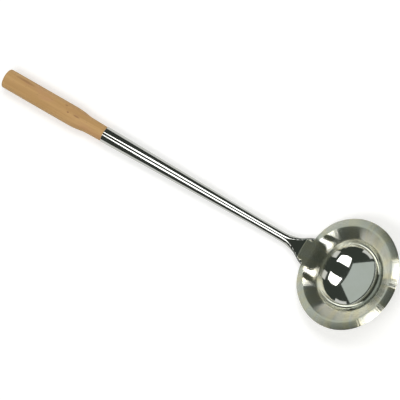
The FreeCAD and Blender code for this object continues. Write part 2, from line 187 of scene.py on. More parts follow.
def brim_heights():
    """Heights at even steps of radius, from the join to the rim, with the crest at zero."""
    heights = [0.0]
    for step in range(round((RIM - JOIN_RADIUS) / BRIM_STEP) + 1):
        middle = JOIN_RADIUS + (step + 0.5) * BRIM_STEP
        heights.append(heights[-1] + BRIM_STEP * math.tan(brim_slope(middle)))
    top = max(heights)
    fit = JOIN_HEIGHT / (heights[0] - top)
    return [(height - top) * fit for height in heights]


BRIM_HEIGHTS = brim_heights()
print("brim: %.3f mm at the join, %.3f mm at the rim" % (BRIM_HEIGHTS[0], BRIM_HEIGHTS[-1]))


def brim_height(radius):
    place = max(0.0, (radius - JOIN_RADIUS) / BRIM_STEP)
    step = min(int(place), len(BRIM_HEIGHTS) - 2)
    return BRIM_HEIGHTS[step] + (place - step) * (BRIM_HEIGHTS[step + 1] - BRIM_HEIGHTS[step])


# %% The height of the sheet over its plan
def seat_height(reach):
    if reach >= FLAT_START:
        return FLAT_HEIGHT + (reach - FLAT_START) * math.tan(SEAT_SLOPE)
    sine = math.sin(SEAT_START) - (reach - JOIN_RADIUS) / SEAT_ARC
    cosine = math.sqrt(1.0 - min(STEEPEST_SINE, sine) ** 2)
    return JOIN_HEIGHT + SEAT_ARC * (cosine - math.cos(SEAT_START))


def sheet_height(across, aside):
    """Upper face of the pressed sheet, above a place of its plan. The handle leaves to -X."""
    radius = math.hypot(across, aside)
    if radius <= BOTTOM_EDGE:
        return BOTTOM_CENTRE - math.sqrt(BOTTOM_ROUND ** 2 - radius ** 2)
    if radius <= JOIN_RADIUS:
        return SIDE_CENTRE - math.sqrt(SIDE_ROUND ** 2 - (radius - SIDE_AXIS) ** 2)
    natural = brim_height(radius)
    if across >= 0.0:
        return natural
    inwards = smooth_step((radius - JOIN_RADIUS) / SEAT_RUN)
    reach = radius + (abs(across) - radius) * inwards
    pressed = 1.0 - smooth_step((abs(aside) - SEAT_HALF) / SEAT_BLEND)
    return natural + pressed * (seat_height(reach) - natural)


# %% The trimmed edge in plan
def trimmed_radius(turn):
    """Radius of the sheet's edge at an angle from the handle's side, without the tongue."""
    turn = abs(turn)
    notch = Vector((NOTCH_REACH, NOTCH_HALF))
    root = Vector((notch.x + ROOT_LEAD, TONGUE_HALF))
    notch_turn = math.atan2(notch.y, notch.x)
    if turn >= DRAW_IN:
        return RIM
    if turn >= notch_turn:
        leave = Vector((math.cos(DRAW_IN), math.sin(DRAW_IN)))
        along = notch.dot(leave)
        drawn = (RIM ** 2 - 2.0 * RIM * along + NOTCH_EDGE ** 2) / (2.0 * (RIM - along))
        middle = leave * (RIM - drawn)
        ray = Vector((math.cos(turn), math.sin(turn)))
        half = ray.dot(middle)
        return half + math.sqrt(half ** 2 - middle.length_squared + drawn ** 2)
    root_turn = math.atan2(root.y, root.x)
    if turn >= root_turn:
        share = (turn - root_turn) / (notch_turn - root_turn)
        return root.length + (notch.length - root.length) * share
    return root.x / math.cos(turn)


# %% [markdown]
# The rings: 360 points each, close together in the bowl and closer still over the brim, where
# the reflections bend most. Each new ring is an extrusion of the last one, scaled outwards.

# %% Extrude the bowl's rings
SPOKES = 360
BOTTOM_RINGS = 18
SIDE_RINGS = 18
BRIM_RINGS = (6, 6, 5, 7, 12, 8)


def ring_radii():
    """Rings at equal turns of both arcs, and at equal steps of each stretch of the brim."""
    radii = [BOTTOM_ROUND * math.sin(BOTTOM_SLOPE * ring / BOTTOM_RINGS)
             for ring in range(1, BOTTOM_RINGS + 1)]
    for ring in range(1, SIDE_RINGS + 1):
        slope = BOTTOM_SLOPE + (SIDE_SLOPE - BOTTOM_SLOPE) * ring / SIDE_RINGS
        radii.append(SIDE_AXIS + SIDE_ROUND * math.sin(slope))
    for rings, (start, _), (end, _) in zip(BRIM_RINGS, BRIM_SLOPES, BRIM_SLOPES[1:]):
        radii += [start + (end - start) * ring / rings for ring in range(1, rings + 1)]
    return radii


start_clean()
radii = ring_radii()
bpy.ops.mesh.primitive_circle_add(vertices=SPOKES, radius=radii[0] * MM, fill_type="TRIFAN")
bowl = named("pressed_bowl")
bpy.ops.object.mode_set(mode="EDIT")
bpy.ops.mesh.select_all(action="SELECT")
bpy.ops.mesh.region_to_loop()
for inner, outer in zip(radii, radii[1:]):
    bpy.ops.mesh.extrude_edges_move()
    grow = outer / inner
    bpy.ops.transform.resize(value=(grow, grow, 1.0), center_override=(0.0, 0.0, 0.0))
bpy.ops.object.mode_set(mode="OBJECT")
print("rings:", len(radii), "points:", len(bowl.data.vertices))

# %% [markdown]
# Trimming: past the foot of the brim each point slides along its spoke, by its share of the way
# to the rim, so that the last ring lands on the trimmed edge. Beside the handle that edge draws
# in towards the notches.

# %% Trim the edge
def trim(vertex):
    radius = math.hypot(vertex.co.x, vertex.co.y) / MM
    if radius <= JOIN_RADIUS + TOLERANCE:
        return vertex.co
    turn = math.atan2(vertex.co.y, -vertex.co.x)
    share = (radius - JOIN_RADIUS) / (RIM - JOIN_RADIUS)
    radius = JOIN_RADIUS + (trimmed_radius(turn) - JOIN_RADIUS) * share
    return Vector((-math.cos(turn) * radius * MM, math.sin(turn) * radius * MM, 0.0))


move_points(bowl, trim)

# %% [markdown]
# The tongue is the stretch of edge between the notches, extruded outwards in short steps whose
# points are then laid out in even rows. Its end bows out a little and its corners are rounded,
# as a punch leaves them.

# %% Extrude the tongue
TONGUE_STEPS = 8
TONGUE_STRIDE = 0.5
TONGUE_SPOKES = 12
# spokes are one degree apart, so this lies between the tongue's last spoke and the next
TONGUE_TURN = math.radians(TONGUE_SPOKES + 0.4)


def tongue_end(aside):
    """How far the tongue reaches at a distance from the handle's middle plane."""
    bow = TONGUE_BULGE * (1.0 - (aside / TONGUE_HALF) ** 2)
    short = max(0.0, abs(aside) - (TONGUE_HALF - TONGUE_CORNER))
    corner = TONGUE_CORNER - math.sqrt(max(0.0, TONGUE_CORNER ** 2 - short ** 2))
    return TONGUE_REACH + bow - corner


bpy.ops.object.mode_set(mode="EDIT")
bpy.ops.mesh.select_all(action="DESELECT")
sheet = bmesh.from_edit_mesh(bowl.data)
for edge in sheet.edges:
    turns = [abs(math.atan2(vertex.co.y, -vertex.co.x)) for vertex in edge.verts]
    if edge.is_boundary and max(turns) < TONGUE_TURN:
        edge.select_set(True)
bmesh.update_edit_mesh(bowl.data)
points_before = len(sheet.verts)
for step in range(TONGUE_STEPS):
    bpy.ops.mesh.extrude_edges_move(
        TRANSFORM_OT_translate={"value": (-TONGUE_STRIDE * MM, 0.0, 0.0)})
bpy.ops.object.mode_set(mode="OBJECT")

spokes_in_tongue = 2 * TONGUE_SPOKES + 1
tongue_root = NOTCH_REACH + ROOT_LEAD
added = bowl.data.vertices[points_before:]
rows = [added[start:start + spokes_in_tongue] for start in range(0, len(added), spokes_in_tongue)]
for step, row in enumerate(rows, start=1):
    ordered = sorted(row, key=lambda vertex: vertex.co.y)
    for spoke, vertex in enumerate(ordered):
        aside = TONGUE_HALF * (spoke / TONGUE_SPOKES - 1.0)
        reach = tongue_root + (tongue_end(aside) - tongue_root) * step / TONGUE_STEPS
        vertex.co = Vector((-reach * MM, aside * MM, 0.0))
print("tongue rows:", len(rows))

# %% [markdown]
# Pressing: every point is lifted to the height that the die gives its place. Then the sheet gets
# its thickness downwards, the cut edge is rounded as tumbling leaves it, and the mesh is turned
# into the rest pose.

# %% Press the sheet and give it its wall
# the bevel's width in mm, the edges that it rounds and the edges that are shaded smooth
BOWL_BEVEL = 0.25
BOWL_SHARP_FROM = math.radians(50.0)
BOWL_SMOOTH_BELOW = 60.0


def press(vertex):
    across = vertex.co.x / MM
    aside = vertex.co.y / MM
    return Vector((vertex.co.x, vertex.co.y, sheet_height(across, aside) * MM))


move_points(bowl, press)
apply_modifier(bowl, "SOLIDIFY", thickness=BOWL_WALL * MM, offset=-1.0, use_even_offset=True)
apply_modifier(bowl, "BEVEL", width=BOWL_BEVEL * MM, segments=2,
               limit_method="ANGLE", angle_limit=BOWL_SHARP_FROM)
lay_at_rest(bowl, BOWL_AT_REST, BOWL_SMOOTH_BELOW)
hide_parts("bowl")
print("bowl faces:", len(bowl.data.polygons))

# %% [markdown]
# ## The rolled handle
# The real handle is one strip, rolled round until its edges meet underneath. Towards the bowl
# the seam opens, the sides come up and the strip spreads into a fan. It could be bent with a
# lattice, but the strip keeps its width all the way, so it is simpler to take a grid primitive
# and say, row by row, how far the strip is rolled. A Subdivision Surface then draws the same
# smooth face through the net as the solid has, and Solidify gives the 0.8 mm wall.
#
# The rows towards the grip are long. If the bevel's narrow faces at the tube's mouth shared their
# shading, the last 10 mm of the tube would turn grey. So the smoothing angle is smaller than the
# bevel's steps, and the cut edge keeps out of it.

# %% The handle's sizes, in mm
TUBE_WALL = 0.8
MOUTH_WIDTH = 18.5
NECK_WIDTH = 11.0
NECK = 60.0
MOUTH = 251.0
SEAM_GAP = 0.4
FAN_WIDTH = 32.4
FAN_OVERLAP = 10.5
FAN_LENGTH = 34.0
FAN_CORNER = 1.1
ROUNDING_START = 5.0
ROUNDING_LENGTH = 15.0
SIDE_TURN = math.radians(80.0)
FAN_END_TURN = 0.5 * SIDE_TURN
CLOSING_LENGTH = 27.0
SHEET_COLUMNS = 32
NECK_ROWS = 20
TUBE_ROWS = 4
TUBE_BEVEL = 0.15
TUBE_SHARP_FROM = math.radians(60.0)
TUBE_SMOOTH_BELOW = 20.0

# radii of the middle of the wall
MOUTH_RADIUS = (MOUTH_WIDTH - TUBE_WALL) / 2.0
NECK_RADIUS = (NECK_WIDTH - TUBE_WALL) / 2.0
TAPER_RISE = (MOUTH_RADIUS - NECK_RADIUS) / (MOUTH - NECK)
# a smooth face lies inside the net that draws it, so the net is this much wider
NET_SHARE = 1.0 + (2.0 * math.pi / SHEET_COLUMNS) ** 2 / 6.0


# %% How far the strip is rolled at a distance
def rolled_row(distance):
    """Half the strip's width, half its flat middle, the bend's radius and how far it turns."""
    spread = smooth_step((distance + FAN_OVERLAP) / FAN_LENGTH)
    flat = (FAN_WIDTH / 2.0 - FAN_CORNER) * (1.0 - spread)
    round_radius = (NECK_RADIUS + max(0.0, distance - NECK) * TAPER_RISE) * NET_SHARE
    rounding = smooth_step((distance - ROUNDING_START) / ROUNDING_LENGTH)
    bend = FAN_CORNER + (round_radius - FAN_CORNER) * rounding
    closing = smooth_step(distance / CLOSING_LENGTH)
    opening = smooth_step(-distance / FAN_OVERLAP)
    turn = SIDE_TURN + (FAN_END_TURN - SIDE_TURN) * opening + (math.pi - SIDE_TURN) * closing
    half = math.pi * round_radius - SEAM_GAP / 2.0
    return half, flat, bend, min(turn, (half - flat) / bend)


def rolled_point(distance, share):
    """A point of the strip's middle layer, at a share of its half width."""
    half, flat, bend, turn = rolled_row(distance)
    run = abs(share) * half
    lean = min(turn, max(0.0, run - flat) / bend)
    leg = max(0.0, run - flat - bend * turn)
    aside = min(run, flat) + bend * math.sin(lean) + leg * math.cos(lean)
    down = bend - bend * math.cos(lean) + leg * math.sin(lean)
    return Vector((-distance, math.copysign(aside, share), -TUBE_WALL / 2.0 - down)) * MM


# %% Roll the strip
# the grid reaches from -1 to 1, so a point's Y is its share of the strip's half width
distances = [(NECK + FAN_OVERLAP) * row / NECK_ROWS - FAN_OVERLAP for row in range(NECK_ROWS)]
distances += [NECK + (MOUTH - NECK) * row / TUBE_ROWS for row in range(TUBE_ROWS + 1)]
last_row = len(distances) - 1
start_clean()
bpy.ops.mesh.primitive_grid_add(x_subdivisions=last_row, y_subdivisions=SHEET_COLUMNS, size=2.0)
handle = named("rolled_handle")


def roll(vertex):
    row = round((vertex.co.x + 1.0) / 2.0 * last_row)
    return rolled_point(distances[last_row - row], vertex.co.y)


move_points(handle, roll)
apply_modifier(handle, "SUBSURF", levels=2, render_levels=2, boundary_smooth="PRESERVE_CORNERS")
apply_modifier(handle, "SOLIDIFY", thickness=TUBE_WALL * MM, offset=0.0, use_even_offset=True)
apply_modifier(handle, "BEVEL", width=TUBE_BEVEL * MM, segments=2,
               limit_method="ANGLE", angle_limit=TUBE_SHARP_FROM)
lay_at_rest(handle, HANDLE_AT_REST, TUBE_SMOOTH_BELOW)
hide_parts("handle_tube")
print("handle faces:", len(handle.data.polygons))

# %% [markdown]
# ## The grip
# A turned bar, so it is made as on a lathe: a ring is extruded along the axis and scaled to the
# radius at each station. The stations are close at the rounded end and over the shoulder and far
# apart along the straight part. The thin end goes into the tube's mouth.

# %% Turn the grip
GRIP_RADIUS = 11.05
GRIP_LENGTH = 130.0
WAIST_LENGTH = 20.0
WAIST_RADIUS = 8.9
FOOT_ROUND = 35.0
SHOULDER_END = 43.0
END_DOME = 2.4
END_ROUNDING = 2.0
TENON = 40.0
TENON_CLEARANCE = 0.06
TENON_ROOT = MOUTH_RADIUS - TUBE_WALL / 2.0 - TENON_CLEARANCE
WAIST_STEP = 5.0
BELLY_STEPS = 8
ROUNDING_STEPS = 8
DOME_STEPS = 12
GRIP_POINTS = 128
GRIP_SMOOTH_BELOW = 40.0

# the foot's round rises out of the waist's line, and the shoulder's round meets it and the belly
waist_rise = math.atan((WAIST_RADIUS - TENON_ROOT) / WAIST_LENGTH)
foot = Vector((WAIST_LENGTH - FOOT_ROUND * math.sin(waist_rise),
               WAIST_RADIUS + FOOT_ROUND * math.cos(waist_rise)))
foot_gap = Vector((SHOULDER_END - foot.x, foot.y - GRIP_RADIUS))
SHOULDER_ROUND = (foot_gap.length_squared - FOOT_ROUND ** 2) / (2.0 * (FOOT_ROUND - foot_gap.y))
shoulder = Vector((SHOULDER_END, GRIP_RADIUS - SHOULDER_ROUND))
foot_end = (foot + (shoulder - foot).normalized() * FOOT_ROUND).x


def grip_radius(station):
    """Radius at a distance from the tube's mouth towards the grip's end."""
    if station <= 0.0:
        return TENON_ROOT + station * TAPER_RISE
    if station <= WAIST_LENGTH:
        return TENON_ROOT + (WAIST_RADIUS - TENON_ROOT) * station / WAIST_LENGTH
    if station <= foot_end:
        return foot.y - math.sqrt(FOOT_ROUND ** 2 - (station - foot.x) ** 2)
    if station <= SHOULDER_END:
        return shoulder.y + math.sqrt(SHOULDER_ROUND ** 2 - (SHOULDER_END - station) ** 2)
    return GRIP_RADIUS


# the domed end, with the rounding that runs from the belly into it
dome_round = (GRIP_RADIUS ** 2 + END_DOME ** 2) / (2.0 * END_DOME)
dome_centre = GRIP_LENGTH - dome_round
rounding_radius = GRIP_RADIUS - END_ROUNDING
rounding_turn = math.asin(rounding_radius / (dome_round - END_ROUNDING))
belly_end = dome_centre + (dome_round - END_ROUNDING) * math.cos(rounding_turn)

stations = [-TENON, -TENON / 2.0]
stations += [WAIST_STEP * step for step in range(round(WAIST_LENGTH / WAIST_STEP))]
stations += [WAIST_LENGTH + step for step in range(round(SHOULDER_END - WAIST_LENGTH))]
stations += [SHOULDER_END + step * (belly_end - SHOULDER_END) / BELLY_STEPS
             for step in range(BELLY_STEPS + 1)]
rings = [(station, grip_radius(station)) for station in stations]
for step in range(1, ROUNDING_STEPS + 1):
    turn = math.pi / 2.0 - (math.pi / 2.0 - rounding_turn) * step / ROUNDING_STEPS
    rings.append((belly_end + END_ROUNDING * math.cos(turn),
                  rounding_radius + END_ROUNDING * math.sin(turn)))
for step in range(1, DOME_STEPS):
    turn = rounding_turn * (1.0 - step / DOME_STEPS)
    rings.append((dome_centre + dome_round * math.cos(turn), dome_round * math.sin(turn)))
print("shoulder round %.1f mm, belly to %.1f mm" % (SHOULDER_ROUND, belly_end))

start_clean()
first_station, first_radius = rings[0]
bpy.ops.mesh.primitive_circle_add(
    vertices=GRIP_POINTS, radius=first_radius * MM, fill_type="NGON",
    location=(-first_station * MM, 0.0, 0.0), rotation=(0.0, -math.pi / 2.0, 0.0))
grip = named("turned_grip")
bpy.ops.object.transform_apply(location=True, rotation=True, scale=True)
bpy.ops.object.mode_set(mode="EDIT")
bpy.ops.mesh.select_all(action="SELECT")
bpy.ops.mesh.region_to_loop()
for (station, radius), (last_station, last_radius) in zip(rings[1:], rings):
    bpy.ops.mesh.extrude_edges_move(
        TRANSFORM_OT_translate={"value": ((last_station - station) * MM, 0.0, 0.0)})
    scale = radius / last_radius
    bpy.ops.transform.resize(value=(1.0, scale, scale), center_override=(-station * MM, 0.0, 0.0))
bpy.ops.mesh.edge_face_add()
bpy.ops.mesh.select_all(action="SELECT")
bpy.ops.mesh.normals_make_consistent(inside=False)
bpy.ops.object.mode_set(mode="OBJECT")
lay_at_rest(grip, GRIP_AT_REST, GRIP_SMOOTH_BELOW)
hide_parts("wooden_grip")
print("grip faces:", len(grip.data.polygons))

# %% [markdown]
# ## Finishes
# Every finish is worked out from Object coordinates, so it stays on the metal or the wood when
# the view moves. Small helpers keep the node trees readable.

# %% Helpers for node trees
def new_material(name):
    material = bpy.data.materials.new(name)
    material.use_nodes = True
    nodes = material.node_tree.nodes
    return material, nodes, material.node_tree.links, nodes["Principled BSDF"]


def add_node(nodes, kind, **settings):
    node = nodes.new(kind)
    for key, value in settings.items():
        if key in node.inputs:
            node.inputs[key].default_value = value
        else:
            setattr(node, key, value)
    return node


def ramp(nodes, links, source, stops):
    """A colour ramp on a value; stops are pairs of a place and a colour."""
    node = nodes.new("ShaderNodeValToRGB")
    first, last = node.color_ramp.elements
    first.position, first.color = stops[0]
    last.position, last.color = stops[-1]
    for place, colour in stops[1:-1]:
        node.color_ramp.elements.new(place).color = colour
    links.new(source, node.inputs["Fac"])
    return node.outputs["Color"]


# %% [markdown]
# The finishes repeat a few steps: a value is taken from one range to another, two values are
# multiplied, a colour is laid over another, a noise is stretched into lines, a soft mark lies at
# one place, and a height becomes a shallow bump.

# %% Helpers for values, stains and marks
# the share of a mark's size at which it starts to fade
MARK_CORE = 0.35


def between(nodes, links, source, lowest, highest, result_low, result_high):
    """A value taken smoothly from one range to another."""
    node = add_node(nodes, "ShaderNodeMapRange", interpolation_type="SMOOTHSTEP")
    node.inputs["From Min"].default_value = lowest
    node.inputs["From Max"].default_value = highest
    node.inputs["To Min"].default_value = result_low
    node.inputs["To Max"].default_value = result_high
    links.new(source, node.inputs["Value"])
    return node.outputs["Result"]


def product(nodes, links, first, second):
    node = add_node(nodes, "ShaderNodeMath", operation="MULTIPLY")
    links.new(first, node.inputs[0])
    links.new(second, node.inputs[1])
    return node.outputs[0]


def stained(nodes, links, below, amount, colour):
    """Lays a colour over another as far as the amount says."""
    node = add_node(nodes, "ShaderNodeMix", data_type="RGBA")
    node.inputs["B"].default_value = (*colour, 1.0)
    links.new(amount, node.inputs["Factor"])
    links.new(below, node.inputs["A"])
    return node.outputs["Result"]


def stretched_noise(nodes, links, place, scale, detail, distortion):
    """Noise with so many waves in a metre along X, Y and Z."""
    stretch = add_node(nodes, "ShaderNodeMapping", Scale=scale)
    links.new(place, stretch.inputs["Vector"])
    noise = add_node(nodes, "ShaderNodeTexNoise", Scale=1.0, Detail=detail,
                     Roughness=0.6, Distortion=distortion)
    links.new(stretch.outputs["Vector"], noise.inputs["Vector"])
    return noise.outputs["Fac"]


def mark(nodes, links, place, middle, size, strength, turn=0.0):
    """A soft spot, from where it lies, its three half lengths in millimetres and its turn."""
    spot = add_node(nodes, "ShaderNodeMapping", vector_type="TEXTURE",
                    Location=tuple(value * MM for value in middle),
                    Scale=tuple(value * MM for value in size),
                    Rotation=(0.0, 0.0, math.radians(turn)))
    links.new(place, spot.inputs["Vector"])
    distance = add_node(nodes, "ShaderNodeVectorMath", operation="LENGTH")
    links.new(spot.outputs["Vector"], distance.inputs[0])
    return between(nodes, links, distance.outputs["Value"], MARK_CORE, 1.0, strength, 0.0)


def bumped(nodes, links, shader, height, strength, distance):
    """Raises the surface where the height is 1, by a distance in metres."""
    bump = add_node(nodes, "ShaderNodeBump", Strength=strength, Distance=distance)
    links.new(height, bump.inputs["Height"])
    links.new(bump.outputs["Normal"], shader.inputs["Normal"])


# %% [markdown]
# Polished stainless sheet. The bowl's inside is buffed almost to a mirror, and the brim keeps the
# fine rings of the polishing wheel. Rings blur what the brim reflects from its crest to its edge
# and keep it sharp round the bowl, so the brim shows wedges that point at the middle. The shader
# makes this with anisotropy along the tangent, which here is the line from the bowl's centre.

# %% What both steels share
# the shares of red, green and blue that a dull cloud keeps
DULLED = (0.94, 0.94, 0.90)


def polished_steel(name, colour):
    """The metal with a slow cloud in its tone, from handling and washing."""
    material, nodes, links, shader = new_material(name)
    shader.inputs["Metallic"].default_value = 1.0
    place = add_node(nodes, "ShaderNodeTexCoord").outputs["Object"]
    cloud = add_node(nodes, "ShaderNodeTexNoise", Scale=45.0, Detail=3.0, Roughness=0.55)
    links.new(place, cloud.inputs["Vector"])
    dull = [value * share for value, share in zip(colour, DULLED)]
    tint = ramp(nodes, links, cloud.outputs["Fac"], [
        (0.30, (*dull, 1.0)),
        (0.70, (*colour, 1.0)),
    ])
    return material, nodes, links, shader, place, tint


# %% [markdown]
# The brim's finish depends on how far a place lies from the bowl's axis, and in which direction.
# Object coordinates are taken back into the bowl's own frame, where the brim lies level, and are
# flattened onto its plane.

# %% Where a place lies on the bowl
def from_the_axis(nodes, links, place):
    """Distance from the bowl's axis in metres, and the direction away from it."""
    level = add_node(nodes, "ShaderNodeMapping", vector_type="TEXTURE",
                     Location=tuple(BOWL_AT_REST.translation),
                     Rotation=(0.0, math.radians(BOWL_TILT), 0.0))
    links.new(place, level.inputs["Vector"])
    flat = add_node(nodes, "ShaderNodeVectorMath", operation="MULTIPLY")
    flat.inputs[1].default_value = (1.0, 1.0, 0.0)
    links.new(level.outputs["Vector"], flat.inputs[0])
    distance = add_node(nodes, "ShaderNodeVectorMath", operation="LENGTH")
    links.new(flat.outputs["Vector"], distance.inputs[0])
    heading = add_node(nodes, "ShaderNodeVectorMath", operation="NORMALIZE")
    links.new(flat.outputs["Vector"], heading.inputs[0])
    return distance.outputs["Value"], heading.outputs["Vector"]


def from_the_centre(nodes, links, place):
    """The line from the bowl's centre to the place, which every ring crosses."""
    outward = add_node(nodes, "ShaderNodeMapping", vector_type="POINT",
                       Location=tuple(-value for value in BOWL_AT_REST.translation))
    links.new(place, outward.inputs["Vector"])
    return outward.outputs["Vector"]


# %% Steel of the bowl
BOWL_TONE = (0.56, 0.57, 0.54)
# a painted reflection: the olive that the brim's wedges reflect, put into the steel's colour
PAINTED_REFLECTION_OLIVE = (0.60, 0.57, 0.43)
DISH_ROUGHNESS, BRIM_ROUGHNESS = 0.045, 0.21
# radii in metres where the rings and the ripple of the brim start and where they are full
BRIM_INSIDE, BRIM_FULL = 0.0325, 0.0400
RIPPLE_INSIDE, RIPPLE_FULL = 0.037, 0.050
# middle and half lengths in millimetres, the roughness that it adds, and its turn in degrees
SCRATCH = ((174.0, 26.5, 12.0), (7.5, 0.35, 15.0), 0.30, 61.0)


def bowl_steel():
    material, nodes, links, shader, place, tint = polished_steel("polished_bowl_steel", BOWL_TONE)
    shader.inputs["Anisotropic"].default_value = 1.0
    links.new(from_the_centre(nodes, links, place), shader.inputs["Tangent"])
    radius, heading = from_the_axis(nodes, links, place)
    noise = add_node(nodes, "ShaderNodeTexNoise", Scale=4.5, Detail=5.0, Roughness=0.55)
    links.new(heading, noise.inputs["Vector"])
    wedges = noise.outputs["Fac"]
    # painted reflection: olive wedges laid into the brim's colour, standing in for what the brim
    # reflects
    brim = between(nodes, links, radius, BRIM_INSIDE, BRIM_FULL, 0.0, 1.0)
    reflection_wedge_share = between(nodes, links, wedges, 0.40, 0.62, 0.25, 1.0)
    painted_reflection = stained(nodes, links, tint, product(nodes, links, reflection_wedge_share, brim), PAINTED_REFLECTION_OLIVE)
    links.new(painted_reflection, shader.inputs["Base Color"])
    # the brim is rougher than the dish, and one thin scratch crosses the dish's left side
    rings = between(nodes, links, radius, BRIM_INSIDE, BRIM_FULL, DISH_ROUGHNESS, BRIM_ROUGHNESS)
    rough = add_node(nodes, "ShaderNodeMath", operation="ADD")
    links.new(rings, rough.inputs[0])
    links.new(mark(nodes, links, place, *SCRATCH), rough.inputs[1])
    links.new(rough.outputs[0], shader.inputs["Roughness"])
    # the polishing wheel leaves the brim faintly rippled, in the same wedges as the painted
    # reflection
    ripple = between(nodes, links, radius, RIPPLE_INSIDE, RIPPLE_FULL, 0.0, 1.0)
    bumped(nodes, links, shader, product(nodes, links, wedges, ripple), 0.6, 0.0006)
    return material


bowl.data.materials.clear()
bowl.data.materials.append(bowl_steel())
print("steel on the bowl")

# %% [markdown]
# The tube was drawn through rollers and buffed along its length. A noise that is stretched
# lengthwise gives it faint lines, on roughness and on a very shallow bump.

# %% Steel of the tube
TUBE_TONE = (0.50, 0.505, 0.49)
TUBE_ROUGHNESS = (0.035, 0.060)
# lines per metre, along the tube and across it
LINE_SCALE = (6.0, 900.0, 900.0)


def tube_steel():
    material, nodes, links, shader, place, tint = polished_steel("polished_tube_steel", TUBE_TONE)
    links.new(tint, shader.inputs["Base Color"])
    lines = stretched_noise(nodes, links, place, LINE_SCALE, 3.0, 0.0)
    rough = between(nodes, links, lines, 0.3, 0.7, *TUBE_ROUGHNESS)
    links.new(rough, shader.inputs["Roughness"])
    bumped(nodes, links, shader, lines, 0.05, 0.00005)
    return material


handle.data.materials.clear()
handle.data.materials.append(tube_steel())
print("steel on the handle")

# %% [markdown]
# Beech, sanded and thinly oiled. Long soft streaks run along the grip, slow patches turn it a
# little pink, and short brown flecks, the ends of the wood's rays, lie in it. A darker stripe near
# the end and three bigger marks sit where the real grip shows them.

# %% Wood
PINK = (0.58, 0.30, 0.16)
FLECK_BROWN = (0.36, 0.20, 0.10)
MARK_BROWN = (0.36, 0.17, 0.07)
# waves in a metre along the grain and across it
STREAK_SCALE = (11.0, 190.0, 190.0)
PATCH_SCALE = (18.0, 60.0, 60.0)
FLECK_SCALE = (260.0, 1500.0, 1500.0)
GRAIN_WAVER = 0.3
WOOD_ROUGHNESS = (0.50, 0.62)
# middle and half lengths in millimetres, strength
WOOD_MARKS = (
    ((-222.0, 7.0, 18.0), (17.0, 2.0, 9.0), 0.60),
    ((-168.5, 6.6, 18.5), (2.4, 1.2, 4.0), 0.80),
    ((-163.0, 0.8, 21.0), (1.9, 1.3, 4.0), 1.00),
    ((-152.5, 1.2, 21.0), (5.5, 1.3, 4.0), 0.80),
)


def oiled_beech():
    material, nodes, links, shader = new_material("oiled_beech")
    place = add_node(nodes, "ShaderNodeTexCoord").outputs["Object"]
    streaks = stretched_noise(nodes, links, place, STREAK_SCALE, 4.0, GRAIN_WAVER)
    tone = ramp(nodes, links, streaks, [
        (0.28, (0.50, 0.285, 0.103, 1.0)),
        (0.48, (0.57, 0.335, 0.125, 1.0)),
        (0.72, (0.66, 0.410, 0.170, 1.0)),
    ])
    patches = stretched_noise(nodes, links, place, PATCH_SCALE, 2.0, GRAIN_WAVER)
    patches = between(nodes, links, patches, 0.50, 0.72, 0.0, 0.6)
    tone = stained(nodes, links, tone, patches, PINK)
    flecks = stretched_noise(nodes, links, place, FLECK_SCALE, 1.0, GRAIN_WAVER)
    flecks = between(nodes, links, flecks, 0.66, 0.74, 0.0, 0.5)
    tone = stained(nodes, links, tone, flecks, FLECK_BROWN)
    for wood_mark in WOOD_MARKS:
        tone = stained(nodes, links, tone, mark(nodes, links, place, *wood_mark), MARK_BROWN)
    links.new(tone, shader.inputs["Base Color"])
    rough = between(nodes, links, streaks, 0.3, 0.7, *WOOD_ROUGHNESS)
    links.new(rough, shader.inputs["Roughness"])
    shader.inputs["Specular IOR Level"].default_value = 0.35
    bumped(nodes, links, shader, streaks, 0.15, 0.0001)
    return material


grip.data.materials.clear()
grip.data.materials.append(oiled_beech())
print("wood on the grip")

# %% [markdown]
# ## The studio
# The camera looks down from past the far side of the bowl, leaning a little, and is rolled so
# that the ladle runs from the picture's upper left to its lower right.

# %% The camera
LEAN = math.radians(14.446)
ROLL = math.radians(30.0)
DISTANCE = 2.7523
PICTURE_WIDTH = 400.0
SENSOR_WIDTH = 36.0
CLIP_END = 20.0
PIXELS_PER_METRE = 941.5
# the picture's centre lies 11 mm towards the bowl and 10 mm to the right of the ladle's middle
AIM = Vector((0.01122, -9.33 / PIXELS_PER_METRE, 0.015))

away = Vector((math.sin(LEAN), 0.0, math.cos(LEAN)))
along = Vector((math.cos(LEAN), 0.0, -math.sin(LEAN)))
side = Vector((0.0, 1.0, 0.0))
right = along * math.cos(ROLL) + side * math.sin(ROLL)
up = side * math.cos(ROLL) - along * math.sin(ROLL)
camera_data = bpy.data.cameras.new("camera")
camera_data.sensor_width = SENSOR_WIDTH
camera_data.lens = SENSOR_WIDTH * PIXELS_PER_METRE * DISTANCE / PICTURE_WIDTH
camera_data.clip_end = CLIP_END
camera = bpy.data.objects.new("camera", camera_data)
bpy.context.scene.collection.objects.link(camera)
turned = Matrix((right, up, away)).transposed().to_4x4()
camera.matrix_world = Matrix.Translation(AIM + away * DISTANCE) @ turned
bpy.context.scene.camera = camera
print("lens %.1f mm" % camera_data.lens)


# %% [markdown]
# A plain pale floor lies under a white surround, which the camera and the steel both see. The
# floor is a diffuse white; for the camera and for reflections it also glows a little, so that it
# meets the white surround, and the ladle's soft shadow stays on it.

# %% The floor and the surround
FLOOR_SIZE = 12.0
FLOOR_GLOW = 0.4
SURROUND_LIGHT = 0.35


def seen_directly(nodes, links):
    """1 for rays from the camera, through glass or off metal, and 0 for light on the way."""
    path = nodes.new("ShaderNodeLightPath")
    first = add_node(nodes, "ShaderNodeMath", operation="ADD", use_clamp=True)
    links.new(path.outputs["Is Camera Ray"], first.inputs[0])
    links.new(path.outputs["Is Transmission Ray"], first.inputs[1])
    second = add_node(nodes, "ShaderNodeMath", operation="ADD", use_clamp=True)
    links.new(first.outputs[0], second.inputs[0])
    links.new(path.outputs["Is Glossy Ray"], second.inputs[1])
    return second.outputs[0]


